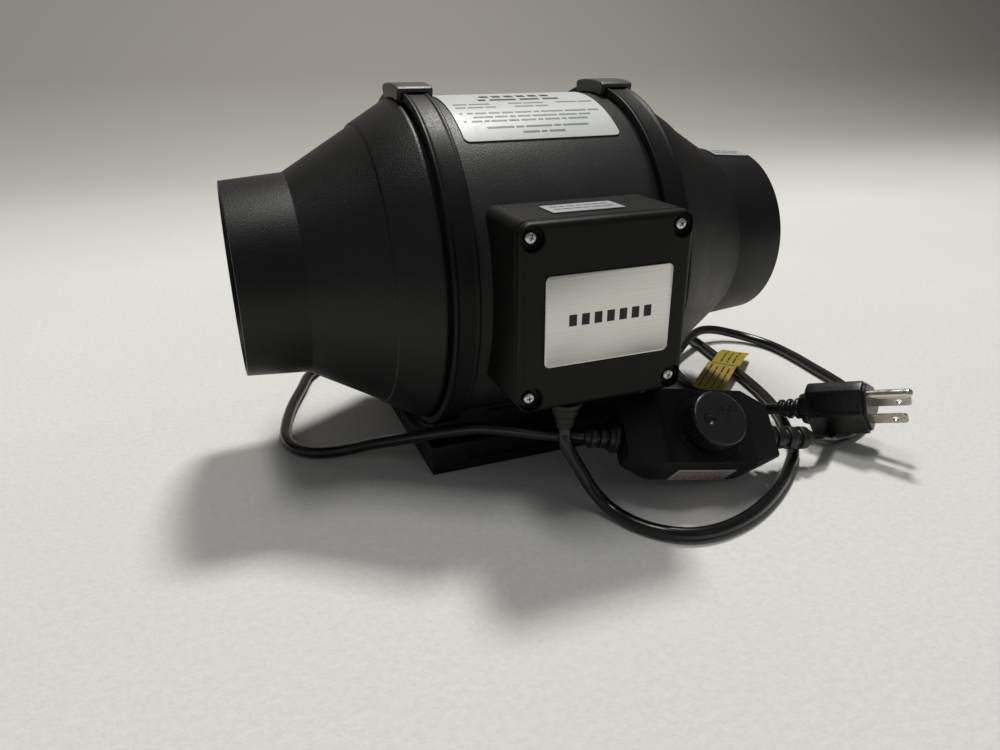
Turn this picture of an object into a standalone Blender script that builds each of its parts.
"""Inline duct fan, 4 inch, with its terminal box, mounting base, speed controller and mains plug.

Metres, +Z up. The fan's axis runs along X at AXIS_HEIGHT above the underside of the base, and the
origin is the middle of that underside. The front, with the terminal box, faces -Y.
"""

import math

import bmesh
import bpy
from mathutils import Matrix, Vector
from mathutils.geometry import interpolate_bezier

GAP = 0.0003  # between pieces that touch
TURN = 2 * math.pi

# Fan body: stations along the axis and radii about it
AXIS_HEIGHT = 0.100
SPIGOT_END_X, SPIGOT_END_RADIUS = 0.1497, 0.0485
SPIGOT_ROOT_X, SPIGOT_ROOT_RADIUS = 0.1192, 0.0508
RIDGE_X, RIDGE_RADIUS, RIDGE_STEP = 0.0833, 0.0716, 0.0011
LIP_X, LIP_RADIUS, LIP_WIDTH = 0.0646, 0.0835, 0.0016
CONE_WALL = 0.0025
CASING_RADIUS, CASING_BORE = 0.0838, 0.0810
CASING_END_X = 0.0529
GASKET_THICKNESS = 0.0016
CONE_FLANGE_X = CASING_END_X + GASKET_THICKNESS + 2 * GAP
BODY_SEGMENTS = 56

# Clamp bands and the latches on top of them
BAND_INNER_X, BAND_OUTER_X = 0.0488, 0.0614
BAND_RADIUS = 0.08825
BAND_SPLIT_HALF_ANGLE = math.radians(3.0)
LATCH_INNER_X, LATCH_OUTER_X = 0.0462, 0.0640
LATCH_RADIUS = 0.0910
LATCH_FRONT_ANGLE = math.radians(100.4)
LATCH_PIN_ANGLE = math.radians(80.0)
LATCH_NECK_ANGLE = 0.0022 / 0.0899
LATCH_PIN_ORBIT, LATCH_PIN_RADIUS = 0.0899, 0.0006
LATCH_BARREL_RADIUS = 0.0013
LATCH_LUG_WIDTH = 0.0020
PIN_CLEARANCE = 0.00015

# Mounting base
BASE_HALF_LENGTH, BASE_HALF_WIDTH = 0.066, 0.057
LEDGE_HEIGHT, SADDLE_HALF_WIDTH, SADDLE_HEIGHT = 0.016, 0.045, 0.030
BASE_FLOOR = 0.004
BASE_END_RADIUS = 0.090
BASE_SCREW_X = 0.030
BASE_SLOT_X, BASE_SLOT_Y = 0.050, 0.051
BASE_SLOT_LENGTH, BASE_SLOT_WIDTH = 0.009, 0.0045

# Impeller, motor and guide vanes, from the inlet (-X) towards the outlet (+X)
SHAFT_RADIUS, SHAFT_START_X, SHAFT_END_X = 0.0030, -0.0450, 0.0396
SHAFT_CLEARANCE = 0.00015
BLADE_COUNT, BLADE_TIP_RADIUS, BLADE_THICKNESS = 7, 0.0785, 0.0018
BLADE_START_X, BLADE_END_X = -0.0420, -0.0110
HUB_FRONT_X, HUB_REAR_X = -0.0400, -0.0062
NUT_FRONT_X, NUT_ACROSS_FLATS = -0.0443, 0.0100
VANE_COUNT, VANE_THICKNESS = 9, 0.0018
VANE_START_X, VANE_END_X = 0.0040, 0.0380
CUP_RADIUS, CUP_BORE = 0.0355, 0.0315
CUP_FRONT_X, CUP_REAR_X = -0.0050, 0.0400
VANE_RING_RADIUS, VANE_RING_BORE = 0.0807, 0.0792
BEARING_RADIUS, BEARING_WIDTH = 0.0095, 0.0060
STATOR_START_X, STATOR_END_X = 0.0070, 0.0300
CAP_SCREW_ORBIT, CAP_SEAT_X = 0.0335, 0.0432

# Terminal box on the front of the casing; X and Z offsets are from the fan's axis
BOX_HALF_WIDTH, BOX_HALF_HEIGHT, BOX_CORNER = 0.0417, 0.0425, 0.0055
BOX_CENTRE_Z = AXIS_HEIGHT - 0.0009
BOX_FRONT_Y, LID_FRONT_Y = -0.1092, -0.1150
BOX_WALL = 0.0024
BOX_FLOOR_RADIUS = 0.0870
LID_SCREW_OFFSET, LID_POCKET_RADIUS, LID_POCKET_DEPTH = 0.0360, 0.0055, 0.0042
GLAND_X, GLAND_Y = -0.0151, -0.1070
GLAND_TOP_Z, GLAND_END_Z = BOX_CENTRE_Z - BOX_HALF_HEIGHT - GAP, 0.0430

# Labels: thin films; angles from +Y towards +Z, so that 90 degrees is the top
FILM_THICKNESS = 0.0003
NAMEPLATE_X, NAMEPLATE_DROP = 0.0007, -0.0008
NAMEPLATE_HALF_WIDTH, NAMEPLATE_HALF_HEIGHT, NAMEPLATE_THICKNESS = 0.0310, 0.0205, 0.0005
BOX_STICKER_X, BOX_STICKER_Y = -0.0030, -0.0933
BOX_STICKER_HALF_LENGTH, BOX_STICKER_HALF_WIDTH = 0.0175, 0.0078
RATING_LABEL_X = (-0.0422, 0.0388)
RATING_LABEL_START, RATING_LABEL_END = math.radians(84.0), math.radians(127.4)
SPIGOT_STICKER_X = (0.1235, 0.1475)
SPIGOT_STICKER_START, SPIGOT_STICKER_END = math.radians(86.0), math.radians(106.0)

# Speed controller, in its own frame: x along it, z out of its face, origin in the middle of the face
CONTROLLER_FACE_CENTRE = Vector((0.0544, -0.1211, 0.0368))
CONTROLLER_LONG_AXIS = Vector((0.982, -0.120, -0.145))
CONTROLLER_FACE_NORMAL = Vector((0.029, -0.663, 0.748))
FACE_LENGTH, FACE_WIDTH = 0.0490, 0.0386
HOUSING_LENGTH, HOUSING_WIDTH, HOUSING_END_WIDTH = 0.0830, 0.0403, 0.0284
HOUSING_SHOULDER, HOUSING_SPLIT_Z, HOUSING_DEPTH = 0.0047, -0.0064, 0.0270
HOUSING_WALL = 0.0022
KNOB_X, KNOB_Y, KNOB_RADIUS, KNOB_TOP_Z = 0.0012, -0.0011, 0.0141, 0.0124
POT_SHAFT_RADIUS = 0.0030
CONTROLLER_STICKER_X, CONTROLLER_STICKER_Z = (-0.0150, 0.0170), (-0.0080, -0.0221)
RELIEF_Z = -0.0150
INLET_RELIEF_LENGTH, OUTLET_RELIEF_LENGTH = 0.0175, 0.0300
CONTROLLER_SCREW_X, CONTROLLER_SCREW_Y = 0.0335, 0.0085

# Mains plug, in its own frame: x out of its face, y towards the ground pin, origin between the blades
PLUG_FACE_CENTRE = Vector((0.1654, -0.1203, 0.0244))
PLUG_AXIS = Vector((0.492, -0.814, 0.308))
PLUG_UP = Vector((-0.519, 0.010, 0.854))
PLUG_STATIONS = (
    (0.0, 0.97), (-0.0012, 1.0), (-0.0296, 1.0), (-0.0314, 0.92), (-0.0328, 0.62), (-0.0368, 0.52),
)
PLUG_CABLE_OFFSET = 0.0030
PLUG_RELIEF_END = -0.0520
BLADE_SPACING, GROUND_PIN_OFFSET = 0.0127, 0.0119

# Cords: diameter, and the points that each one passes, chosen by hand
CORD_DIAMETER = 0.0064
CORD_POINT_SPACING = 0.0165
FAN_CORD_ROUTE = (
    (-0.0151, -0.1070, 0.0427), (-0.0151, -0.1070, 0.0395), (-0.0153, -0.1080, 0.0355),
    (-0.0134, -0.1096, 0.0300), (-0.0100, -0.1124, 0.0230), (-0.0046, -0.1172, 0.0120),
    (0.0004, -0.1250, 0.0053), (0.0070, -0.1395, 0.0034), (0.0165, -0.1510, 0.0034),
    (0.0296, -0.1572, 0.0034), (0.0470, -0.1571, 0.0034), (0.0688, -0.1501, 0.0034),
    (0.0919, -0.1368, 0.0034), (0.1104, -0.1227, 0.0034), (0.1232, -0.1102, 0.0034),
    (0.1366, -0.0899, 0.0034), (0.1486, -0.0662, 0.0034), (0.1555, -0.0465, 0.0034),
    (0.1615, -0.0204, 0.0034), (0.1668, 0.0139, 0.0034), (0.1716, 0.0460, 0.0034),
    (0.1732, 0.0720, 0.0034), (0.1670, 0.0950, 0.0034), (0.1500, 0.1120, 0.0034),
    (0.1200, 0.1190, 0.0034), (0.0600, 0.1200, 0.0034), (0.0000, 0.1210, 0.0034),
    (-0.0500, 0.1230, 0.0034), (-0.0850, 0.1170, 0.0034), (-0.1060, 0.0970, 0.0034),
    (-0.1150, 0.0750, 0.0034), (-0.1250, 0.0480, 0.0034), (-0.1316, 0.0220, 0.0034),
    (-0.1330, 0.0075, 0.0034), (-0.1296, -0.0060, 0.0034), (-0.1215, -0.0146, 0.0034),
    (-0.1105, -0.0186, 0.0038), (-0.1010, -0.0225, 0.0058), (-0.0915, -0.0290, 0.0098),
    (-0.0805, -0.0385, 0.0146),
    (-0.0705, -0.0480, 0.0196), (-0.0616, -0.0575, 0.0244), (-0.0535, -0.0660, 0.0287),
    (-0.0456, -0.0740, 0.0321), (-0.0380, -0.0820, 0.0339), (-0.0303, -0.0895, 0.0350),
    (-0.0224, -0.0958, 0.0352), (-0.0150, -0.1002, 0.0350), (-0.0085, -0.1029, 0.0349),
)
PLUG_CORD_ROUTE = (
    (0.1300, -0.1200, 0.0140), (0.1400, -0.1150, 0.0085), (0.1480, -0.1108, 0.0050),
    (0.1565, -0.1083, 0.0036), (0.1665, -0.1065, 0.0034), (0.1820, -0.1000, 0.0034),
    (0.1980, -0.0870, 0.0034), (0.2085, -0.0690, 0.0034), (0.2142, -0.0465, 0.0034),
    (0.2170, -0.0232, 0.0034), (0.2195, 0.0015, 0.0034), (0.2188, 0.0245, 0.0035),
    (0.2115, 0.0410, 0.0046), (0.2010, 0.0505, 0.0068), (0.1900, 0.0545, 0.0092),
    (0.1785, 0.0538, 0.0105), (0.1657, 0.0475, 0.0105), (0.1530, 0.0390, 0.0086),
    (0.1410, 0.0298, 0.0054), (0.1315, 0.0190, 0.0036), (0.1250, 0.0060, 0.0034),
    (0.1222, -0.0080, 0.0034), (0.1222, -0.0220, 0.0034), (0.1235, -0.0365, 0.0034),
    (0.1262, -0.0540, 0.0044), (0.1300, -0.0640, 0.0062),
)

# Yellow warning tag: a strip that lies over the plug's cord and the fan's cord
TAG_WIDTH, TAG_THICKNESS = 0.0210, 0.0004
TAG_PATH = (
    (0.1215, -0.0340, 0.0076), (0.1300, -0.0267, 0.0075), (0.1400, -0.0180, 0.0074),
    (0.1490, -0.0102, 0.0077), (0.1570, -0.0032, 0.0080), (0.1650, 0.0038, 0.0081),
    (0.1725, 0.0104, 0.0077), (0.1790, 0.0160, 0.0060), (0.1840, 0.0204, 0.0046),
)

COLOURS = {
    "casing": ((0.055, 0.056, 0.055), 0.55, 0.0),
    "black_plastic": ((0.022, 0.022, 0.022), 0.5, 0.0),
    "band": ((0.060, 0.062, 0.060), 0.5, 0.0),
    "latch_grey": ((0.180, 0.178, 0.160), 0.5, 0.0),
    "rubber": ((0.020, 0.020, 0.020), 0.8, 0.0),
    "steel": ((0.560, 0.560, 0.550), 0.3, 1.0),
    "nickel": ((0.600, 0.560, 0.500), 0.3, 1.0),
    "copper": ((0.600, 0.300, 0.150), 0.4, 1.0),
    "white_plastic": ((0.700, 0.700, 0.680), 0.5, 0.0),
    "label_white": ((0.750, 0.760, 0.740), 0.5, 0.0),
    "label_silver": ((0.500, 0.500, 0.460), 0.4, 0.6),
    "tag_yellow": ((0.800, 0.600, 0.020), 0.6, 0.0),
    "cord": ((0.018, 0.018, 0.018), 0.35, 0.0),
    "board": ((0.020, 0.150, 0.060), 0.5, 0.0),
}


def clear_scene():
    for item in list(bpy.data.objects):
        bpy.data.objects.remove(item, do_unlink=True)


def material(name):
    found = bpy.data.materials.get(name)
    if found:
        return found
    colour, roughness, metallic = COLOURS[name]
    made = bpy.data.materials.new(name)
    made.use_nodes = True
    shader = made.node_tree.nodes["Principled BSDF"]
    shader.inputs["Base Color"].default_value = (*colour, 1.0)
    shader.inputs["Roughness"].default_value = roughness
    shader.inputs["Metallic"].default_value = metallic
    return made


def mesh_object(name, points, faces, finish=None):
    """One object from points and faces, with its normals pointing out."""
    mesh = bpy.data.meshes.new(name)
    work = bmesh.new()
    verts = [work.verts.new(point) for point in points]
    for face in faces:
        work.faces.new([verts[i] for i in face])
    bmesh.ops.recalc_face_normals(work, faces=work.faces)
    work.to_mesh(mesh)
    work.free()
    item = bpy.data.objects.new(name, mesh)
    bpy.context.collection.objects.link(item)
    if finish:
        dress(item, finish)
    return item


def dress(item, finish, smooth_angle=math.radians(35)):
    item.data.materials.clear()
    item.data.materials.append(material(finish))
    item.data.shade_smooth()
    item.data.set_sharp_from_angle(angle=smooth_angle)


def combine(target, others, operation="DIFFERENCE"):
    """Apply a Boolean with each other object in turn, and remove those objects."""
    for other in others:
        change = target.modifiers.new(operation.title(), "BOOLEAN")
        change.operation = operation
        change.solver = "EXACT"
        change.object = other
        bpy.context.view_layer.update()
        evaluated = target.evaluated_get(bpy.context.evaluated_depsgraph_get())
        result = bpy.data.meshes.new_from_object(evaluated)
        target.modifiers.clear()
        target.data = result
        bpy.data.objects.remove(other, do_unlink=True)
    return target


def turned(name, profile, finish=None, segments=32, start=0.0, sweep=TURN, places=None):
    """A closed (axial, radius) outline turned about X. sweep under a full turn leaves flat ends.

    Angles are measured from +Y towards +Z. places moves the finished points.
    """
    whole = abs(sweep - TURN) < 1e-9
    steps = segments if whole else segments + 1
    points, rings = [], []
    for axial, radius in profile:
        if radius < 1e-9:
            rings.append([len(points)] * steps)
            points.append((axial, 0.0, 0.0))
            continue
        rings.append(list(range(len(points), len(points) + steps)))
        for step in range(steps):
            angle = start + sweep * step / segments
            points.append((axial, radius * math.cos(angle), radius * math.sin(angle)))
    faces = []
    for first, second in zip(rings, rings[1:] + rings[:1]):
        for step in range(segments):
            after = (step + 1) % steps
            corners = [first[step], first[after], second[after], second[step]]
            corners = list(dict.fromkeys(corners))
            if len(corners) > 2:
                faces.append(corners)
    if not whole:
        faces.append([ring[0] for ring in rings])
        faces.append([ring[-1] for ring in rings])
    place = places or (lambda p: (p[0], p[1], p[2] + AXIS_HEIGHT))
    return mesh_object(name, [place(point) for point in points], faces, finish)


def lofted(name, rings, finish=None):
    """Loops of equal length joined in order, with both ends closed."""
    count = len(rings[0])
    points = [point for ring in rings for point in ring]
    faces = [list(range(count))]
    for level in range(len(rings) - 1):
        low, high = level * count, (level + 1) * count
        for i in range(count):
            after = (i + 1) % count
            faces.append([low + i, low + after, high + after, high + i])
    faces.append([len(points) - count + i for i in range(count)])
    return mesh_object(name, points, faces, finish)


def block(name, low, high, finish=None):
    ring = [(low[0], low[1]), (high[0], low[1]), (high[0], high[1]), (low[0], high[1])]
    return lofted(name, [[(x, y, z) for x, y in ring] for z in (low[2], high[2])], finish)


def rounded_rectangle(half_width, half_height, corner, steps=4):
    """Outline of a rectangle with round corners, centred on zero."""
    outline = []
    for sign_x, sign_y, start in ((1, 1, 0), (-1, 1, 90), (-1, -1, 180), (1, -1, 270)):
        for step in range(steps + 1):
            angle = math.radians(start + 90 * step / steps)
            outline.append((
                sign_x * (half_width - corner) + corner * math.cos(angle),
                sign_y * (half_height - corner) + corner * math.sin(angle),
            ))
    return outline


def rod(name, start, end, radius, finish=None, sides=16):
    """A straight round bar between two points."""
    start, end = Vector(start), Vector(end)
    turn = (end - start).to_track_quat("Z", "Y").to_matrix()
    rings = []
    for centre in (start, end):
        ring = []
        for i in range(sides):
            angle = TURN * i / sides
            ring.append(centre + turn @ Vector((radius * math.cos(angle), radius * math.sin(angle), 0)))
        rings.append(ring)
    return lofted(name, rings, finish)


def mirrored(x_profile, side):
    return [(side * axial, radius) for axial, radius in x_profile]


def make_cones():
    slope = (RIDGE_RADIUS - SPIGOT_ROOT_RADIUS) / (SPIGOT_ROOT_X - RIDGE_X)
    inner_ridge = RIDGE_RADIUS - CONE_WALL
    profile = [
        (SPIGOT_END_X, SPIGOT_END_RADIUS),
        (SPIGOT_ROOT_X, SPIGOT_ROOT_RADIUS),
        (RIDGE_X, RIDGE_RADIUS),
        (RIDGE_X, RIDGE_RADIUS + RIDGE_STEP),
        (LIP_X, LIP_RADIUS),
        (LIP_X - LIP_WIDTH, LIP_RADIUS),
        (CONE_FLANGE_X, CASING_RADIUS - GAP),
        (CONE_FLANGE_X, CASING_BORE),
        (LIP_X, CASING_BORE - 0.0003),
        (RIDGE_X + 0.0012, inner_ridge - slope * 0.0012),
        (SPIGOT_ROOT_X + 0.0008, SPIGOT_ROOT_RADIUS - CONE_WALL),
        (SPIGOT_END_X, SPIGOT_END_RADIUS - CONE_WALL),
    ]
    for name, side in (("inlet_cone", -1), ("outlet_cone", 1)):
        turned(name, mirrored(profile, side), "black_plastic", BODY_SEGMENTS)


def make_casing():
    profile = [
        (-CASING_END_X, CASING_BORE), (-CASING_END_X, CASING_RADIUS),
        (CASING_END_X, CASING_RADIUS), (CASING_END_X, CASING_BORE),
    ]
    casing = turned("center_casing", profile, None, BODY_SEGMENTS)
    holes = []
    for side in (-1, 1):
        x = side * BASE_SCREW_X
        holes.append(rod("hole", (x, 0, 0.010), (x, 0, 0.022), 0.0018))
    combine(casing, holes)
    dress(casing, "casing")
    seal = [
        (CASING_END_X + GAP, CASING_BORE + 0.0004),
        (CASING_END_X + GAP, CASING_RADIUS - 0.0006),
        (CASING_END_X + GAP + GASKET_THICKNESS, CASING_RADIUS - 0.0006),
        (CASING_END_X + GAP + GASKET_THICKNESS, CASING_BORE + 0.0004),
    ]
    for name, side in (("inlet_gasket", -1), ("outlet_gasket", 1)):
        turned(name, mirrored(seal, side), "rubber", BODY_SEGMENTS)


def orbit_point(x, radius, angle):
    return Vector((x, radius * math.cos(angle), AXIS_HEIGHT + radius * math.sin(angle)))


def make_band(name, side):
    edge = 0.0007
    inner = CASING_RADIUS + GAP
    profile = [
        (BAND_INNER_X, inner), (BAND_INNER_X, BAND_RADIUS - edge), (BAND_INNER_X + edge, BAND_RADIUS),
        (BAND_OUTER_X - edge, BAND_RADIUS), (BAND_OUTER_X, BAND_RADIUS - edge), (BAND_OUTER_X, inner),
    ]
    start = math.pi / 2 + BAND_SPLIT_HALF_ANGLE
    sweep = TURN - 2 * BAND_SPLIT_HALF_ANGLE
    band = turned(name, mirrored(profile, side), None, BODY_SEGMENTS, start, sweep)
    lug_top = LATCH_PIN_ORBIT + LATCH_BARREL_RADIUS
    lug_half_angle = 0.0016 / LATCH_PIN_ORBIT
    bore_ends = [orbit_point(side * x, LATCH_PIN_ORBIT, LATCH_PIN_ANGLE)
                 for x in (BAND_INNER_X - 0.001, BAND_OUTER_X + 0.001)]
    lugs = []
    for low, high in ((BAND_INNER_X, BAND_INNER_X + LATCH_LUG_WIDTH),
                      (BAND_OUTER_X - LATCH_LUG_WIDTH, BAND_OUTER_X)):
        outline = [(low, inner + 0.001), (low, lug_top), (high, lug_top), (high, inner + 0.001)]
        lugs.append(turned("lug", mirrored(outline, side), None, 2,
                           LATCH_PIN_ANGLE - lug_half_angle, 2 * lug_half_angle))
    combine(band, lugs, "UNION")
    combine(band, [rod("bore", *bore_ends, LATCH_PIN_RADIUS + PIN_CLEARANCE, sides=10)])
    dress(band, "band")


def make_latch(name, pin_name, side):
    plate_inner = BAND_RADIUS + GAP
    neck_inner = BAND_INNER_X + LATCH_LUG_WIDTH + GAP
    neck_outer = BAND_OUTER_X - LATCH_LUG_WIDTH - GAP
    wall_inner = BAND_INNER_X - GAP
    wall_outer = BAND_OUTER_X + GAP
    foot = CASING_RADIUS + GAP
    channel = [
        (LATCH_INNER_X, foot), (LATCH_INNER_X, LATCH_RADIUS), (LATCH_OUTER_X, LATCH_RADIUS),
        (LATCH_OUTER_X, foot), (wall_outer, foot), (wall_outer, plate_inner),
        (wall_inner, plate_inner), (wall_inner, foot),
    ]
    plate_start = LATCH_PIN_ANGLE + LATCH_NECK_ANGLE
    latch = turned(name, mirrored(channel, side), None, 8, plate_start, LATCH_FRONT_ANGLE - plate_start)
    neck = [(neck_inner, plate_inner), (neck_inner, LATCH_RADIUS),
            (neck_outer, LATCH_RADIUS), (neck_outer, plate_inner)]
    neck_sweep = LATCH_NECK_ANGLE + math.radians(1.0)
    tongue = turned("tongue", mirrored(neck, side), None, 2, LATCH_PIN_ANGLE, neck_sweep)
    barrel = rod("barrel", orbit_point(side * neck_inner, LATCH_PIN_ORBIT, LATCH_PIN_ANGLE),
                 orbit_point(side * neck_outer, LATCH_PIN_ORBIT, LATCH_PIN_ANGLE), LATCH_BARREL_RADIUS)
    combine(latch, [tongue, barrel], "UNION")
    bore = rod("bore", orbit_point(side * (neck_inner - 0.001), LATCH_PIN_ORBIT, LATCH_PIN_ANGLE),
               orbit_point(side * (neck_outer + 0.001), LATCH_PIN_ORBIT, LATCH_PIN_ANGLE),
               LATCH_PIN_RADIUS + PIN_CLEARANCE, sides=10)
    combine(latch, [bore])
    dress(latch, "latch_grey")
    pin = orbit_point(0, LATCH_PIN_ORBIT, LATCH_PIN_ANGLE)
    set_origin(latch, pin)
    rod(pin_name, orbit_point(side * BAND_INNER_X, LATCH_PIN_ORBIT, LATCH_PIN_ANGLE),
        orbit_point(side * BAND_OUTER_X, LATCH_PIN_ORBIT, LATCH_PIN_ANGLE), LATCH_PIN_RADIUS, "steel", 10)


def set_origin(item, point):
    """Put the object's origin at a point without moving its surface."""
    item.data.transform(Matrix.Translation(-point))
    item.location = point


def make_clamps():
    for end, side in (("inlet", -1), ("outlet", 1)):
        make_band(end + "_clamp_band", side)
        make_latch(end + "_latch", end + "_latch_pin", side)


def make_base():
    outline = [
        (-BASE_HALF_WIDTH, 0), (BASE_HALF_WIDTH, 0), (BASE_HALF_WIDTH, LEDGE_HEIGHT),
        (SADDLE_HALF_WIDTH, LEDGE_HEIGHT), (SADDLE_HALF_WIDTH, SADDLE_HEIGHT),
        (-SADDLE_HALF_WIDTH, SADDLE_HEIGHT), (-SADDLE_HALF_WIDTH, LEDGE_HEIGHT),
        (-BASE_HALF_WIDTH, LEDGE_HEIGHT),
    ]
    base = lofted("mounting_base", [[(x, y, z) for y, z in outline]
                                    for x in (-BASE_HALF_LENGTH, BASE_HALF_LENGTH)])
    beyond = BASE_HALF_LENGTH + 0.004
    channel_inner, channel_outer = BAND_INNER_X - GAP, BAND_OUTER_X + GAP
    seat, channel = CASING_RADIUS + GAP, BAND_RADIUS + GAP
    half = [(channel_inner, seat), (channel_inner, channel), (channel_outer, channel),
            (channel_outer, BASE_END_RADIUS), (beyond, BASE_END_RADIUS), (beyond, 0)]
    cradle = turned("cradle", half + mirrored(half[::-1], -1), None, 64)
    pocket = block("pocket", (-0.044, -0.038, BASE_FLOOR), (0.044, 0.038, 0.05))
    bosses = [rod("boss", (side * BASE_SCREW_X, 0, BASE_FLOOR - 0.001),
                  (side * BASE_SCREW_X, 0, LEDGE_HEIGHT + 0.004), 0.005) for side in (-1, 1)]
    bar = block("bar", (-0.031, -SADDLE_HALF_WIDTH - 0.0015, 0.0230),
                (0.031, -SADDLE_HALF_WIDTH + 0.002, 0.0265))
    combine(base, [pocket])
    combine(base, bosses + [bar], "UNION")
    cuts = [cradle]
    for side in (-1, 1):
        x = side * BASE_SCREW_X
        cuts.append(rod("screw_hole", (x, 0, -0.001), (x, 0, 0.02), 0.0018))
        cuts.append(rod("counterbore", (x, 0, -0.001), (x, 0, 0.0060), 0.0038))
        recess_low, recess_high = sorted((side * BASE_HALF_WIDTH, side * (BASE_HALF_WIDTH - 0.002)))
        margin = 0.001
        recess = [(-0.049, 0.013), (0.049, 0.013), (0.045, 0.005), (-0.045, 0.005)]
        if side < 0:
            recess_low -= margin
        else:
            recess_high += margin
        cuts.append(lofted("recess", [[(px, y, pz) for px, pz in recess]
                                      for y in (recess_low, recess_high)]))
        for slot_side in (-1, 1):
            centre_x, centre_y = slot_side * BASE_SLOT_X, side * BASE_SLOT_Y
            slot = rounded_rectangle(BASE_SLOT_LENGTH / 2, BASE_SLOT_WIDTH / 2,
                                     BASE_SLOT_WIDTH / 2 - 1e-5)
            cuts.append(lofted("slot", [[(centre_x + px, centre_y + py, z) for px, py in slot]
                                        for z in (-0.001, LEDGE_HEIGHT + 0.001)]))
    combine(base, cuts)
    dress(base, "black_plastic", math.radians(25))
    for name, side in (("base_screw_inlet", -1), ("base_screw_outlet", 1)):
        screw = [(0.0024, 0), (0.0024, 0.0034), (0.0056, 0.0034), (0.0056, 0.0015), (0.0186, 0.0015),
                 (0.0186, 0)]
        x = side * BASE_SCREW_X
        turned(name, screw, "steel", 14, places=lambda p, x=x: (x + p[1], p[2], p[0]))


def make_blade(index, count, x_start, x_end, root, tip, thickness, wraps, twist=0.0):
    """One curved blade or vane, from inside its hub out to its tip.

    wraps gives how far it turns about the axis from front to back, at the root and at the tip.
    """
    radial_steps, chord_steps = 4, 5
    faces, points = [], []
    base_angle = TURN * index / count
    for layer in (-0.5, 0.5):
        for i in range(radial_steps + 1):
            share = i / radial_steps
            radius = root + (tip - root) * share
            wrap = wraps[0] + (wraps[1] - wraps[0]) * share
            for j in range(chord_steps + 1):
                along = j / chord_steps
                edge = 0.35 + 0.65 * math.sin(math.pi * min(max(along, 0.06), 0.94))
                angle = base_angle + twist * share + wrap * (along ** 1.25)
                angle += layer * thickness * edge / radius
                x = x_start + (x_end - x_start) * along
                points.append(orbit_point(x, radius, angle))
    row = chord_steps + 1
    layer_size = row * (radial_steps + 1)
    for i in range(radial_steps):
        for j in range(chord_steps):
            a = i * row + j
            quad = [a, a + 1, a + row + 1, a + row]
            faces.append(quad)
            faces.append([corner + layer_size for corner in quad])
    rim = [j for j in range(row)]
    rim += [i * row + chord_steps for i in range(1, radial_steps + 1)]
    rim += [radial_steps * row + j for j in range(chord_steps - 1, -1, -1)]
    rim += [i * row for i in range(radial_steps - 1, 0, -1)]
    for a, b in zip(rim, rim[1:] + rim[:1]):
        faces.append([a, b, b + layer_size, a + layer_size])
    return mesh_object("blade", points, faces)


def make_rotor():
    bore = SHAFT_RADIUS + SHAFT_CLEARANCE
    hub = [
        (HUB_FRONT_X, bore), (HUB_FRONT_X, 0.0095), (HUB_FRONT_X + 0.003, 0.0140),
        (-0.0300, 0.0205), (-0.0200, 0.0275), (-0.0110, 0.0325), (HUB_REAR_X, 0.0340),
        (HUB_REAR_X, 0.0310), (-0.0130, 0.0285), (-0.0220, 0.0220), (-0.0300, 0.0120),
        (-0.0300, 0.0070), (-0.0100, 0.0070), (-0.0100, bore),
    ]
    impeller = turned("impeller", hub, None, 36)
    blades = [make_blade(i, BLADE_COUNT, BLADE_START_X + 0.004, BLADE_END_X, 0.0185, BLADE_TIP_RADIUS,
                         BLADE_THICKNESS, (math.radians(52), math.radians(34)), math.radians(-14))
              for i in range(BLADE_COUNT)]
    combine(impeller, blades, "UNION")
    hollow = turned("hollow", [(-0.0298, 0.0072), (-0.0298, 0.0118), (-0.0220, 0.0218), (-0.0130, 0.0283),
                               (-0.0050, 0.0312), (-0.0050, 0.0072)], None, 36)
    combine(impeller, [hollow])
    dress(impeller, "casing")
    set_origin(impeller, Vector((0, 0, AXIS_HEIGHT)))

    corner = NUT_ACROSS_FLATS / 2 / math.cos(math.pi / 6)
    hexagon = [(corner * math.cos(TURN * i / 6), corner * math.sin(TURN * i / 6)) for i in range(6)]
    spinner = lofted("impeller_nut", [[(x, y, AXIS_HEIGHT + z) for y, z in hexagon]
                                      for x in (NUT_FRONT_X, HUB_FRONT_X - GAP)])
    combine(spinner, [rod("bore", (-0.05, 0, AXIS_HEIGHT), (-0.03, 0, AXIS_HEIGHT), bore)])
    dress(spinner, "steel")
    set_origin(spinner, Vector((0, 0, AXIS_HEIGHT)))

    shaft = turned("motor_shaft", [
        (SHAFT_START_X, 0), (SHAFT_START_X, SHAFT_RADIUS - 0.0004), (SHAFT_START_X + 0.0004, SHAFT_RADIUS),
        (SHAFT_END_X - 0.0004, SHAFT_RADIUS), (SHAFT_END_X, SHAFT_RADIUS - 0.0004), (SHAFT_END_X, 0),
    ], "steel", 16)
    set_origin(shaft, Vector((0, 0, AXIS_HEIGHT)))
    core = turned("motor_rotor", [
        (STATOR_START_X, bore), (STATOR_START_X, 0.0155), (STATOR_START_X + 0.001, 0.0170),
        (STATOR_END_X - 0.001, 0.0170), (STATOR_END_X, 0.0155), (STATOR_END_X, bore),
    ], "steel", 28)
    set_origin(core, Vector((0, 0, AXIS_HEIGHT)))


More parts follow.
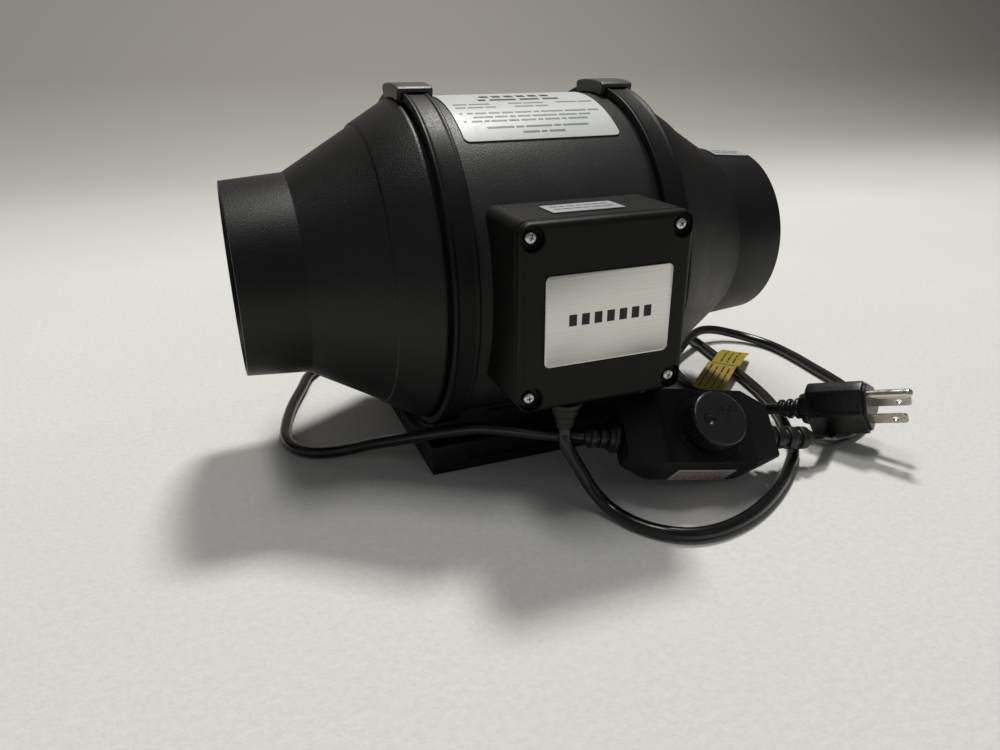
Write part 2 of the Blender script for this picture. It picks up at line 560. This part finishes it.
def make_motor():
    bearing_seat = BEARING_RADIUS + SHAFT_CLEARANCE
    front_wall = CUP_FRONT_X + 0.0025
    cup = [
        (CUP_FRONT_X, 0.0055), (CUP_FRONT_X, CUP_RADIUS), (CUP_REAR_X, CUP_RADIUS), (CUP_REAR_X, CUP_BORE),
        (front_wall, CUP_BORE), (front_wall, 0.0125), (0.0040, 0.0125), (0.0040, bearing_seat),
        (front_wall, bearing_seat), (front_wall, 0.0055),
    ]
    frame = turned("guide_vanes", cup, None, 48)
    ring = turned("ring", [
        (0.0, VANE_RING_BORE), (0.0, VANE_RING_RADIUS), (0.041, VANE_RING_RADIUS), (0.041, VANE_RING_BORE),
    ], None, BODY_SEGMENTS)
    vanes = [make_blade(i, VANE_COUNT, VANE_START_X, VANE_END_X, CUP_RADIUS - 0.0012,
                        VANE_RING_BORE + 0.0006, VANE_THICKNESS, (math.radians(-26), math.radians(-14)))
             for i in range(VANE_COUNT)]
    combine(frame, vanes + [ring], "UNION")
    pilot_holes, clearance_holes, heads = [], [], []
    for i in range(3):
        angle = math.radians(90 + 120 * i)
        tip, pilot_end, cap_end, back, under_head, top = (
            orbit_point(x, CAP_SCREW_ORBIT, angle)
            for x in (0.0320, 0.0310, CUP_REAR_X - 0.001, CUP_REAR_X + 0.001, CAP_SEAT_X, CAP_SEAT_X + 0.0017))
        pilot_holes.append(rod("pilot", pilot_end, back, 0.00125, sides=10))
        clearance_holes.append(rod("clearance", cap_end, top, 0.0013, sides=10))
        heads.append((tip, under_head, top))
    combine(frame, pilot_holes)
    dress(frame, "black_plastic")

    cap_front = CUP_REAR_X + GAP
    cap_shoulder = CAP_SEAT_X - GAP
    cap = turned("motor_end_cap", [
        (cap_front, 0.0125), (cap_front, CUP_RADIUS), (cap_shoulder, CUP_RADIUS), (cap_shoulder, 0.0310),
        (0.0520, 0.0240), (0.0580, 0.0140), (0.0600, 0.0), (0.0415, 0.0), (0.0415, 0.0045),
        (0.0397, 0.0045), (0.0397, bearing_seat), (0.0332, bearing_seat), (0.0332, 0.0125),
    ], None, 40)
    combine(cap, clearance_holes)
    dress(cap, "black_plastic")
    for i, (tip, under_head, top) in enumerate(heads):
        screw = rod("motor_cap_screw_%d" % (i + 1), under_head, top, 0.0020, sides=12)
        combine(screw, [rod("shank", tip, (under_head + top) / 2, 0.0011, sides=10)], "UNION")
        dress(screw, "steel")

    bearing_bore = SHAFT_RADIUS + SHAFT_CLEARANCE
    for name, start in (("front_bearing", -0.0022), ("rear_bearing", 0.0334)):
        end = start + BEARING_WIDTH
        turned(name, [
            (start, bearing_bore), (start, 0.0048), (start + 0.0005, 0.0050), (start + 0.0005, 0.0078),
            (start, 0.0080), (start, BEARING_RADIUS), (end, BEARING_RADIUS), (end, 0.0080),
            (end - 0.0005, 0.0078), (end - 0.0005, 0.0050), (end, 0.0048), (end, bearing_bore),
        ], "steel", 24)
    core_outer = CUP_BORE - GAP
    winding_start, winding_end = STATOR_START_X - 0.0022, STATOR_END_X + 0.0022
    turned("motor_stator", [
        (STATOR_START_X, 0.0173), (STATOR_START_X, 0.0190), (winding_start, 0.0200), (winding_start, 0.0275),
        (STATOR_START_X, 0.0285), (STATOR_START_X, core_outer), (STATOR_END_X, core_outer),
        (STATOR_END_X, 0.0285), (winding_end, 0.0275), (winding_end, 0.0200), (STATOR_END_X, 0.0190),
        (STATOR_END_X, 0.0173),
    ], "copper", 36)


def box_ring(y, inset=0.0, steps=4):
    outline = rounded_rectangle(BOX_HALF_WIDTH - inset, BOX_HALF_HEIGHT - inset,
                                max(BOX_CORNER - inset, 0.0012), steps)
    return [(px, y, BOX_CENTRE_Z + pz) for px, pz in outline]


def corner_offsets():
    return [(-LID_SCREW_OFFSET, LID_SCREW_OFFSET), (LID_SCREW_OFFSET, LID_SCREW_OFFSET),
            (-LID_SCREW_OFFSET, -LID_SCREW_OFFSET), (LID_SCREW_OFFSET, -LID_SCREW_OFFSET)]


def make_terminal_box():
    centre = BOX_CENTRE_Z
    box = lofted("terminal_box", [box_ring(-0.060), box_ring(BOX_FRONT_Y)])
    cavity = lofted("cavity", [box_ring(-0.055, BOX_WALL), box_ring(BOX_FRONT_Y - 0.003, BOX_WALL)])
    floor = rod("floor", (-0.06, 0, AXIS_HEIGHT), (0.06, 0, AXIS_HEIGHT), BOX_FLOOR_RADIUS, sides=72)
    combine(cavity, [floor])
    combine(box, [cavity])
    posts = []
    for px, pz in corner_offsets():
        posts.append(rod("post", (px, -0.070, centre + pz), (px, BOX_FRONT_Y, centre + pz), 0.0042, sides=14))
    combine(box, posts, "UNION")
    cuts = [rod("casing_bore", (-0.06, 0, AXIS_HEIGHT), (0.06, 0, AXIS_HEIGHT), CASING_RADIUS + GAP, sides=72)]
    for px, pz in corner_offsets():
        cuts.append(rod("pilot", (px, -0.0955, centre + pz), (px, BOX_FRONT_Y - 0.001, centre + pz),
                        0.00145, sides=10))
    combine(box, cuts)
    dress(box, "black_plastic")

    lid_back = BOX_FRONT_Y - GAP
    rings = [box_ring(lid_back), box_ring(LID_FRONT_Y + 0.0030), box_ring(LID_FRONT_Y + 0.0011, 0.0008),
             box_ring(LID_FRONT_Y, 0.0028)]
    lid = lofted("box_lid", rings)
    hollow_half = LID_SCREW_OFFSET - LID_POCKET_RADIUS - 0.0015
    hollow_front = LID_FRONT_Y + 0.0022
    hollows = [
        block("hollow_wide", (-0.0385, hollow_front, centre - hollow_half),
              (0.0385, lid_back + 0.001, centre + hollow_half)),
        block("hollow_tall", (-hollow_half, hollow_front, centre - 0.0392),
              (hollow_half, lid_back + 0.001, centre + 0.0392)),
    ]
    combine(lid, hollows)
    seat_y = LID_FRONT_Y + LID_POCKET_DEPTH
    for px, pz in corner_offsets():
        combine(lid, [
            rod("pocket", (px, LID_FRONT_Y - 0.001, centre + pz), (px, seat_y, centre + pz),
                LID_POCKET_RADIUS, sides=20),
            rod("hole", (px, LID_FRONT_Y - 0.001, centre + pz), (px, lid_back + 0.001, centre + pz),
                0.0017, sides=12),
        ])
    dress(lid, "black_plastic")
    for i, (px, pz) in enumerate(corner_offsets()):
        screw = [(0.0, 0.0), (0.0, 0.0018), (0.0008, 0.0026), (0.0018, 0.0028), (0.0018, 0.00135),
                 (0.0140, 0.00135), (0.0140, 0.0)]
        head_y = seat_y - GAP - 0.0018
        turned("lid_screw_%d" % (i + 1), screw, "steel", 16,
               places=lambda p, px=px, pz=pz, y=head_y: (px + p[1], y + p[0], centre + pz + p[2]))


def make_box_fittings():
    centre = BOX_CENTRE_Z
    turned("box_gland", [
        (GLAND_TOP_Z, 0.0), (GLAND_TOP_Z, 0.0077), (0.0538, 0.0075), (0.0534, 0.0064), (0.0496, 0.0061),
        (0.0488, 0.0048), (GLAND_END_Z, 0.0041), (GLAND_END_Z, 0.0),
    ], "cord", 20, places=lambda p: (GLAND_X + p[1], GLAND_Y + p[2], p[0]))
    back, front = -0.0876, -0.0985
    port_z = centre + 0.0130
    terminal = block("terminal_block", (-0.030, front, port_z - 0.007), (0.006, back, port_z + 0.007))
    ports = []
    for i in range(4):
        x = -0.0255 + 0.009 * i
        ports.append(rod("port", (x, front - 0.0015, port_z), (x, front + 0.006, port_z), 0.0022, sides=10))
    combine(terminal, ports)
    dress(terminal, "white_plastic")
    block("run_capacitor", (-0.020, -0.1040, centre - 0.022), (0.016, back, centre - 0.004), "casing")
    plate = [(NAMEPLATE_X + px, centre + NAMEPLATE_DROP + pz)
             for px, pz in rounded_rectangle(NAMEPLATE_HALF_WIDTH, NAMEPLATE_HALF_HEIGHT, 0.003)]
    plate_back = LID_FRONT_Y - GAP
    lofted("nameplate", [[(px, y, pz) for px, pz in plate]
                         for y in (plate_back, plate_back - NAMEPLATE_THICKNESS)], "label_silver")
    outline = rounded_rectangle(BOX_STICKER_HALF_LENGTH, BOX_STICKER_HALF_WIDTH, 0.0008, 2)
    top = centre + BOX_HALF_HEIGHT + GAP
    lofted("box_sticker", [[(BOX_STICKER_X + px, BOX_STICKER_Y + py, z) for px, py in outline]
                           for z in (top, top + FILM_THICKNESS)], "label_white")


def make_labels():
    low = CASING_RADIUS + GAP
    high = low + FILM_THICKNESS
    start_x, end_x = RATING_LABEL_X
    turned("rating_label", [(start_x, low), (start_x, high), (end_x, high), (end_x, low)], "label_white", 14,
           RATING_LABEL_START, RATING_LABEL_END - RATING_LABEL_START)
    start_x, end_x = SPIGOT_STICKER_X
    slope = (SPIGOT_ROOT_RADIUS - SPIGOT_END_RADIUS) / (SPIGOT_END_X - SPIGOT_ROOT_X)
    outline = []
    under, over = GAP, GAP + FILM_THICKNESS
    for x, lift in ((start_x, under), (start_x, over), (end_x, over), (end_x, under)):
        outline.append((x, SPIGOT_ROOT_RADIUS - slope * (x - SPIGOT_ROOT_X) + lift))
    turned("spigot_sticker", outline, "label_white", 6, SPIGOT_STICKER_START,
           SPIGOT_STICKER_END - SPIGOT_STICKER_START)


def frame_from(origin, x_axis, z_hint):
    """Matrix of a local frame from its x axis and a direction near its z axis."""
    x_axis = x_axis.normalized()
    y_axis = z_hint.cross(x_axis).normalized()
    z_axis = x_axis.cross(y_axis)
    frame = Matrix((x_axis, y_axis, z_axis)).transposed().to_4x4()
    frame.translation = origin
    return frame


CONTROLLER = frame_from(CONTROLLER_FACE_CENTRE, CONTROLLER_LONG_AXIS, CONTROLLER_FACE_NORMAL)
PLUG = frame_from(PLUG_FACE_CENTRE, PLUG_AXIS, PLUG_AXIS.cross(PLUG_UP))


def place(item, frame):
    """Build pieces in a local frame, then set them where the frame is."""
    item.matrix_world = frame
    return item


def housing_ring(z, half_end, grow=0.0, end_z=None):
    """Eight-sided outline of the controller at one level; end_z lowers or raises its two ends."""
    half_face, half_width = FACE_LENGTH / 2, HOUSING_WIDTH / 2 + grow
    half_end_width = HOUSING_END_WIDTH / 2 + grow
    end_z = z if end_z is None else end_z
    return [
        (half_face, half_width, z), (-half_face, half_width, z), (-half_end, half_end_width, end_z),
        (-half_end, -half_end_width, end_z), (-half_face, -half_width, z), (half_face, -half_width, z),
        (half_end, -half_end_width, end_z), (half_end, half_end_width, end_z),
    ]


def housing_shell(name, rings, end_levels_differ):
    """A shell half; an end cap whose ends sit at another level is split into flat faces."""
    points = [point for ring in rings for point in ring]
    faces = []
    for level in range(len(rings) - 1):
        low, high = level * 8, level * 8 + 8
        for i in range(8):
            after = (i + 1) % 8
            faces.append([low + i, low + after, high + after, high + i])
    for level, split in zip((0, len(rings) - 1), end_levels_differ):
        first = level * 8
        if split:
            faces += [[first, first + 1, first + 4, first + 5], [first + 1, first + 2, first + 3, first + 4],
                      [first + 5, first + 6, first + 7, first]]
        else:
            faces.append([first + i for i in range(8)])
    return mesh_object(name, points, faces)


def make_controller():
    half_length = HOUSING_LENGTH / 2
    top_ring = housing_ring(0.0, half_length, (FACE_WIDTH - HOUSING_WIDTH) / 2, -HOUSING_SHOULDER)
    upper = housing_shell("controller_upper_housing",
                          [top_ring, housing_ring(HOUSING_SPLIT_Z + GAP, half_length)], (True, False))
    lower_rings = [
        housing_ring(HOUSING_SPLIT_Z, half_length),
        housing_ring(-0.0225, half_length - 0.001, -0.0003, -0.0195),
        housing_ring(-HOUSING_DEPTH, half_length - 0.006, -0.0016, -0.0245),
    ]
    lower = housing_shell("controller_lower_housing", lower_rings, (False, True))
    inner_x, inner_y = FACE_LENGTH / 2 + 0.005, FACE_WIDTH / 2 - HOUSING_WALL
    upper_cavity = block("cavity", (-inner_x, -inner_y, HOUSING_SPLIT_Z - 0.001),
                         (inner_x, inner_y, -HOUSING_WALL))
    lower_cavity = block("cavity", (-inner_x, -inner_y, -HOUSING_DEPTH + HOUSING_WALL),
                         (inner_x, inner_y, HOUSING_SPLIT_Z + 0.001))
    reach = half_length + 0.002
    shaft_hole = rod("shaft_hole", (KNOB_X, KNOB_Y, -0.005), (KNOB_X, KNOB_Y, 0.001), 0.0042)
    combine(upper, [upper_cavity, shaft_hole])
    combine(lower, [lower_cavity, rod("neck_hole", (-reach, 0, RELIEF_Z), (reach, 0, RELIEF_Z), 0.0046)])
    head_z, shank_z = -0.0218, -0.0045
    y = CONTROLLER_SCREW_Y
    for x in (-CONTROLLER_SCREW_X, CONTROLLER_SCREW_X):
        combine(lower, [
            rod("counterbore", (x, y, -0.035), (x, y, head_z + GAP), 0.0026, sides=12),
            rod("hole", (x, y, -0.035), (x, y, HOUSING_SPLIT_Z + 0.001), 0.0015, sides=10),
        ])
        combine(upper, [rod("pilot", (x, y, HOUSING_SPLIT_Z - 0.001), (x, y, shank_z + GAP), 0.0012,
                            sides=10)])
        name = "controller_screw_%d" % (1 if x < 0 else 2)
        screw = rod(name, (x, y, head_z - 0.0012), (x, y, head_z), 0.0022, sides=12)
        combine(screw, [rod("shank", (x, y, head_z - 0.0006), (x, y, shank_z), 0.00105, sides=10)], "UNION")
        dress(screw, "steel")
        place(screw, CONTROLLER)
    for half in (upper, lower):
        dress(half, "black_plastic")
        place(half, CONTROLLER)
    place(block("controller_board", (-0.028, -0.0150, -0.0225), (0.028, 0.0150, -0.0209), "board"), CONTROLLER)
    place(make_controller_sticker(), CONTROLLER)
    for name, side, length in (("controller_inlet_relief", -1, INLET_RELIEF_LENGTH),
                               ("controller_outlet_relief", 1, OUTLET_RELIEF_LENGTH)):
        piece = turned(name, relief_profile(half_length, length), "cord", 16,
                       places=lambda p, side=side: (side * p[0], p[1], p[2] + RELIEF_Z))
        place(piece, CONTROLLER)


def upright(point):
    """Stand a shape that was turned about X on the controller's face instead."""
    return point[1], point[2], point[0]


def make_speed_knob():
    bore = POT_SHAFT_RADIUS + SHAFT_CLEARANCE
    bore_end, skirt_z = 0.0098, 0.0006
    knob = turned("controller_knob", [
        (skirt_z, bore), (skirt_z, KNOB_RADIUS), (KNOB_TOP_Z - 0.0010, KNOB_RADIUS),
        (KNOB_TOP_Z, KNOB_RADIUS - 0.0012), (KNOB_TOP_Z + 0.0004, 0.0060), (KNOB_TOP_Z + 0.0004, 0.0),
        (bore_end, 0.0), (bore_end, bore),
    ], None, 36, places=upright)
    dress(knob, "black_plastic")
    pot = turned("potentiometer", [
        (-0.0095, 0.0), (-0.0095, 0.0080), (-0.0026, 0.0080), (-0.0026, 0.0039), (0.0, 0.0039),
        (0.0, bore), (-0.0070, bore), (-0.0070, 0.0),
    ], "steel", 18, places=upright)
    shaft_end = bore_end - GAP
    shaft = turned("potentiometer_shaft", [
        (-0.0067, 0.0), (-0.0067, POT_SHAFT_RADIUS), (shaft_end, POT_SHAFT_RADIUS), (shaft_end, 0.0),
    ], "nickel", 14, places=upright)
    for piece in (knob, pot, shaft):
        place(piece, CONTROLLER @ Matrix.Translation((KNOB_X, KNOB_Y, 0)))


def relief_profile(wall, length):
    """Strain relief outline: a neck inside the housing wall, a stepped collar and tapering ribs."""
    neck = 0.0046 - GAP
    relief = [
        (wall - 0.0065, 0.0), (wall - 0.0065, neck), (wall + GAP, neck), (wall + GAP, 0.0084),
        (wall + 0.0028, 0.0084), (wall + 0.0032, 0.0068), (wall + 0.0052, 0.0066), (wall + 0.0056, 0.0046),
    ]
    ribs = 2 if length < 0.025 else 3
    start = wall + 0.0066
    pitch = (length - 0.0080) / ribs
    for i in range(ribs):
        x = start + pitch * i
        relief += [(x, 0.0044), (x + 0.0005, 0.0061), (x + 0.68 * pitch, 0.0059), (x + 0.76 * pitch, 0.0044)]
    relief += [(wall + length, 0.0040), (wall + length, 0.0)]
    return relief


def make_controller_sticker():
    """Thin label on the long front side of the lower housing."""
    (start_x, end_x), (top, bottom) = CONTROLLER_STICKER_X, CONTROLLER_STICKER_Z
    side = -HOUSING_WIDTH / 2 - GAP
    return block("controller_sticker", (start_x, side - FILM_THICKNESS, bottom), (end_x, side, top),
                 "label_white")


def plug_section(x, scale):
    """House-shaped outline of the plug, wide at the blades and narrow at the ground pin."""
    centre = PLUG_CABLE_OFFSET
    half = [(-0.0078, 0.0087), (-0.0047, 0.0122), (0.0070, 0.0122), (0.0082, 0.0116), (0.0181, 0.0045),
            (0.0195, 0.0027)]
    outline = [(y, -z) for y, z in half] + half[::-1]
    return [(x, centre + (y - centre) * scale, z * scale) for y, z in outline]


def make_plug():
    body = lofted("plug_body", [plug_section(x, scale) for x, scale in PLUG_STATIONS])
    ribs = [(-0.0350, 0.0), (-0.0350, 0.0045), (-0.0375, 0.0045)]
    for i in range(3):
        x = -0.0382 - 0.0046 * i
        radius = 0.0060 - 0.0004 * i
        ribs += [(x, 0.0042), (x - 0.0005, radius), (x - 0.0024, radius), (x - 0.0030, 0.0042)]
    ribs += [(PLUG_RELIEF_END, 0.0038), (PLUG_RELIEF_END, 0.0)]
    relief = turned("relief", ribs, None, 16, places=lambda p: (p[0], PLUG_CABLE_OFFSET + p[1], p[2]))
    combine(body, [relief], "UNION")
    pocket = 0.00015
    for side in (-1, 1):
        z = side * BLADE_SPACING / 2
        combine(body, [block("slot", (-0.0080 - pocket, -0.003175 - pocket, z - 0.00075 - pocket),
                             (0.001, 0.003175 + pocket, z + 0.00075 + pocket))])
    combine(body, [rod("pin_hole", (-0.0080 - pocket, GROUND_PIN_OFFSET, 0), (0.001, GROUND_PIN_OFFSET, 0),
                       0.0024 + pocket)])
    dress(body, "black_plastic")
    place(body, PLUG)
    for i, side in enumerate((-1, 1)):
        z = side * BLADE_SPACING / 2
        outline = [(-0.0080, -0.003175), (0.0165, -0.003175), (0.0180, -0.0018), (0.0180, 0.0018),
                   (0.0165, 0.003175), (-0.0080, 0.003175)]
        blade = lofted("plug_blade_%d" % (i + 1), [[(px, py, z + dz) for px, py in outline]
                                                   for dz in (-0.00075, 0.00075)])
        combine(blade, [rod("eye", (0.0119, 0, z - 0.002), (0.0119, 0, z + 0.002), 0.0016, sides=14)])
        dress(blade, "nickel")
        place(blade, PLUG)
    pin = turned("plug_ground_pin", [
        (-0.0080, 0.0), (-0.0080, 0.0024), (0.0190, 0.0024), (0.0206, 0.0019), (0.0215, 0.0010), (0.0217, 0.0),
    ], "nickel", 16, places=lambda p: (p[0], GROUND_PIN_OFFSET + p[1], p[2]))
    place(pin, PLUG)


def smooth_route(route, spacing):
    """Evenly spaced points on a smooth curve through the route's own points."""
    dense = []
    for i in range(len(route) - 1):
        before = route[max(i - 1, 0)]
        here, there = route[i], route[i + 1]
        after = route[min(i + 2, len(route) - 1)]
        span = (there - here).length
        leave = (there - before).normalized() * span / 3
        arrive = (after - here).normalized() * span / 3
        dense += interpolate_bezier(here, here + leave, there - arrive, there, 13)[:-1]
    dense.append(route[-1])
    lengths = [0.0]
    for a, b in zip(dense, dense[1:]):
        lengths.append(lengths[-1] + (b - a).length)
    count = max(2, round(lengths[-1] / spacing))
    points, index = [], 0
    for step in range(count + 1):
        target = lengths[-1] * step / count
        while index < len(dense) - 2 and lengths[index + 1] < target:
            index += 1
        share = (target - lengths[index]) / (lengths[index + 1] - lengths[index])
        points.append(dense[index].lerp(dense[index + 1], min(share, 1.0)))
    return points


def exit_points(frame, face, reach):
    """Where a cord meets the end of a strain relief, and a second point straight out of it."""
    face = Vector(face)
    away = Vector((1.0, 0.0, 0.0)) if face.x > 0 else Vector((-1.0, 0.0, 0.0))
    return [tuple(frame @ (face + away * distance)) for distance in (GAP, reach)]


def make_cord(name, route):
    route = [Vector(point) for point in route]
    points = [route[0]] + smooth_route(route[1:-1], CORD_POINT_SPACING) + [route[-1]]
    curve = bpy.data.curves.new(name, "CURVE")
    curve.dimensions = "3D"
    spline = curve.splines.new("POLY")
    spline.points.add(len(points) - 1)
    for slot, point in zip(spline.points, points):
        slot.co = (*point, 1.0)
    curve.bevel_depth = CORD_DIAMETER / 2
    curve.bevel_resolution = 2
    curve.use_fill_caps = True
    item = bpy.data.objects.new(name, curve)
    bpy.context.collection.objects.link(item)
    curve.materials.append(material("cord"))


def make_tag():
    rings = []
    path = [Vector(point) for point in TAG_PATH]
    for i, point in enumerate(path):
        ahead = path[min(i + 1, len(path) - 1)] - path[max(i - 1, 0)]
        across = Vector((ahead.y, -ahead.x, 0)).normalized() * TAG_WIDTH / 2
        up = across.cross(ahead).normalized() * TAG_THICKNESS / 2
        if up.z < 0:
            up = -up
        rings.append([point - across - up, point + across - up, point + across + up, point - across + up])
    lofted("warning_tag", rings, "tag_yellow")


def main():
    clear_scene()
    make_cones()
    make_casing()
    make_clamps()
    make_base()
    make_rotor()
    make_motor()
    make_terminal_box()
    make_box_fittings()
    make_labels()
    make_controller()
    make_speed_knob()
    make_plug()
    inlet_face = (-HOUSING_LENGTH / 2 - INLET_RELIEF_LENGTH, 0.0, RELIEF_Z)
    outlet_face = (HOUSING_LENGTH / 2 + OUTLET_RELIEF_LENGTH, 0.0, RELIEF_Z)
    plug_face = (PLUG_RELIEF_END, PLUG_CABLE_OFFSET, 0.0)
    make_cord("fan_cord", list(FAN_CORD_ROUTE) + exit_points(CONTROLLER, inlet_face, 0.0028)[::-1])
    make_cord("plug_cord", exit_points(CONTROLLER, outlet_face, 0.0030) + list(PLUG_CORD_ROUTE)
              + exit_points(PLUG, plug_face, 0.0060)[::-1])
    make_tag()


main()
